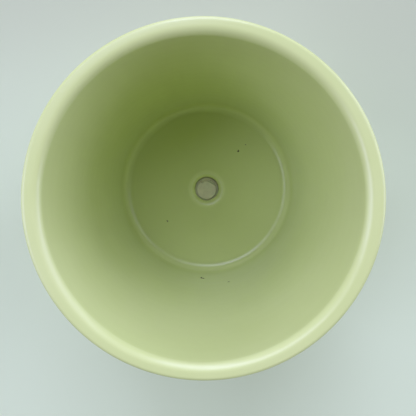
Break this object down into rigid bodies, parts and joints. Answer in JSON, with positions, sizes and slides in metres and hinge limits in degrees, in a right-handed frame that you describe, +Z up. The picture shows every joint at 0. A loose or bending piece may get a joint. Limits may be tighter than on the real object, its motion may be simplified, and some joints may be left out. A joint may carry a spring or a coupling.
{
  "type": "brush holder pot",
  "caption": "Round tapered ceramic pot on a foot ring that holds brushes upright, with a drain hole in its floor that a soft push-in stopper closes from below.",
  "frame": {"origin": "on the pot's axis, on the plane that its foot ring stands on", "axes": "+Z up along the pot's axis, out of its mouth; the pot is round, so X and Y are any two level directions"},
  "size_m": [0.11, 0.11, 0.104],
  "materials": {
    "celadon_glaze": "satin",
    "stopper_silicone": "matte"
  },
  "bodies": {
    "pot": {"pot_body": "celadon_glaze"},
    "stopper": {"drain_stopper": "stopper_silicone"}
  },
  "joints": [
    {"name": "stopper_pull", "type": "slide", "parent": "pot", "child": "stopper", "axis": [0, 0, -1], "range_m": [0, 0.03]}
  ]
}
